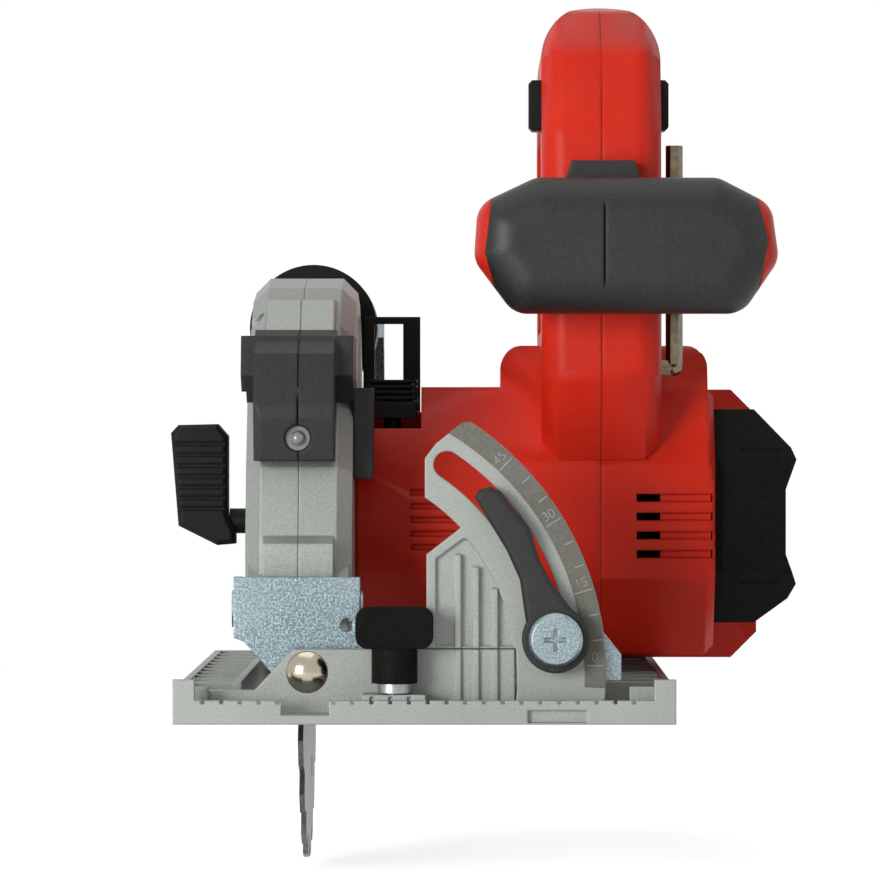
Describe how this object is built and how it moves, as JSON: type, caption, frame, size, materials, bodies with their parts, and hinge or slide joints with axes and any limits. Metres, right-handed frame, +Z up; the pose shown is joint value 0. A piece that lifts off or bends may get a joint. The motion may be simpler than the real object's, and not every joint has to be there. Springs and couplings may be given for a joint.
{
  "type": "circular saw",
  "caption": "Handheld circular saw with bevelling shoe, depth arm, retracting lower guard, D-handle, front grip and clip-on battery.",
  "frame": {"origin": "centre of the shoe's sole", "axes": "+X to the motor side, +Y to the rear of the saw, +Z up from the sole"},
  "size_m": [0.2101, 0.3, 0.292],
  "materials": {
    "red_plastic": "satin moulded plastic with fine grain",
    "black_plastic": "fine spark-textured plastic",
    "black_rubber": "matt moulded rubber",
    "cast_alloy": "shot-blasted silver lacquer on cast light alloy",
    "zinc_plate": "bright zinc plating with blue spangle",
    "nickel": "warm nickel plating",
    "steel": "turned steel",
    "scale_band": "dark satin scale band",
    "lamp_lens": "clear lamp dome",
    "dark_core": "laminated core",
    "board": "coated circuit board",
    "blade_steel": "ground dark steel"
  },
  "bodies": {
    "shoe_body": {"shoe": "cast_alloy", "bevel_quadrant": "cast_alloy", "bevel_scale": "scale_band", "front_pivot_rivet": "nickel", "rear_pivot_rivet": "nickel"},
    "fence_knob": {"fence_wing_knob": "black_plastic", "fence_clamp_screw": "steel"},
    "bevel_body": {"bevel_bracket": "zinc_plate", "bevel_bolt": "zinc_plate", "depth_arm": "zinc_plate", "depth_pivot_pin": "steel"},
    "bevel_lever_body": {"bevel_lever": "black_plastic"},
    "saw_body": {"guard_cover": "cast_alloy", "guard_case": "cast_alloy", "guard_screws": "steel", "light_housing": "black_plastic", "led_lamp": "lamp_lens", "dust_port": "black_plastic", "left_housing_shell": "red_plastic", "right_housing_shell": "red_plastic", "shell_screws": "steel", "motor_end_cap": "black_plastic", "front_grip": "black_rubber", "grip_end_inserts": "red_plastic", "gear_plate": "cast_alloy", "stator": "dark_core", "spindle_bearings": "steel", "rotor_bearings": "steel", "control_board": "board", "switch_body": "black_plastic", "battery_terminal_block": "black_plastic", "depth_clamp_bolt": "steel"},
    "depth_lever_body": {"depth_lever": "black_plastic"},
    "blade_body": {"blade": "blade_steel", "inner_flange": "steel", "outer_flange": "steel", "blade_bolt": "steel", "spindle": "steel", "driven_gear": "steel"},
    "rotor_body": {"rotor_core": "dark_core", "motor_shaft": "steel", "cooling_fan": "black_plastic", "pinion": "steel"},
    "lower_guard_body": {"lower_guard": "cast_alloy", "lower_guard_lever": "black_plastic"},
    "trigger_body": {"trigger": "black_plastic"},
    "lock_off_body": {"lock_off_button": "black_plastic"},
    "spindle_lock_body": {"spindle_lock_button": "black_plastic"},
    "bail_body": {"hanging_bail": "black_plastic"},
    "hex_key_body": {"hex_key": "nickel"},
    "battery_body": {"battery_case": "black_plastic", "battery_cells": "dark_core"},
    "battery_latch_body": {"battery_latch": "red_plastic"}
  },
  "joints": [
    {"name": "fence_knob_turn", "type": "hinge", "parent": "shoe_body", "child": "fence_knob", "pos_m": [-0.0097, -0.1407, 0.02], "axis": [0, 0, 1], "continuous": true},
    {"name": "bevel_tilt", "type": "hinge", "parent": "shoe_body", "child": "bevel_body", "pos_m": [-0.038, 0, 0.016], "axis": [0, -1, 0], "range_deg": [0, 45]},
    {"name": "bevel_lever_turn", "type": "hinge", "parent": "bevel_body", "child": "bevel_lever_body", "pos_m": [0.04207, -0.137, 0.02683], "axis": [0, 1, 0], "range_deg": [0, 45]},
    {"name": "depth_swing", "type": "hinge", "parent": "bevel_body", "child": "saw_body", "pos_m": [-0.0415, -0.117, 0.036], "axis": [1, 0, 0], "range_deg": [0, 19.5]},
    {"name": "depth_lever_turn", "type": "hinge", "parent": "saw_body", "child": "depth_lever_body", "pos_m": [-0.012, 0.129, 0.036], "axis": [1, 0, 0], "range_deg": [-40, 0]},
    {"name": "blade_spin", "type": "hinge", "parent": "saw_body", "child": "blade_body", "pos_m": [-0.0415, -0.01, 0.039], "axis": [1, 0, 0], "continuous": true},
    {"name": "rotor_spin", "type": "hinge", "parent": "saw_body", "child": "rotor_body", "pos_m": [0.04, -0.01, 0.06], "axis": [1, 0, 0], "continuous": true},
    {"name": "lower_guard_swing", "type": "hinge", "parent": "saw_body", "child": "lower_guard_body", "pos_m": [-0.0415, -0.01, 0.039], "axis": [1, 0, 0], "range_deg": [-122, 0]},
    {"name": "trigger_pull", "type": "hinge", "parent": "saw_body", "child": "trigger_body", "pos_m": [0.0585, -0.024, 0.204], "axis": [1, 0, 0], "range_deg": [0, 8], "stiffness_Nm_per_rad": 1.5, "springref_deg": -8.59},
    {"name": "lock_off_slide", "type": "slide", "parent": "saw_body", "child": "lock_off_body", "axis": [1, 0, 0], "range_m": [-0.0025, 0.0025], "stiffness_N_per_m": 400},
    {"name": "spindle_lock_press", "type": "slide", "parent": "saw_body", "child": "spindle_lock_body", "axis": [0, 0, -1], "range_m": [0, 0.003], "stiffness_N_per_m": 600, "springref_m": -0.002},
    {"name": "bail_fold", "type": "hinge", "parent": "saw_body", "child": "bail_body", "pos_m": [-0.013, 0.03, 0.1015], "axis": [-1, 0, 0], "range_deg": [0, 70]},
    {"name": "hex_key_pull", "type": "slide", "parent": "saw_body", "child": "hex_key_body", "axis": [1, 0, 0], "range_m": [0, 0.03]},
    {"name": "battery_slide", "type": "slide", "parent": "saw_body", "child": "battery_body", "axis": [1, 0, 0], "range_m": [0, 0.12]},
    {"name": "battery_latch_press", "type": "slide", "parent": "battery_body", "child": "battery_latch_body", "axis": [0, 0, -1], "range_m": [0, 0.0025], "stiffness_N_per_m": 600, "springref_m": -0.002}
  ],
  "couplings": [
    {"joint": "rotor_spin", "follows": "blade_spin", "ratio": -3.2}
  ]
}
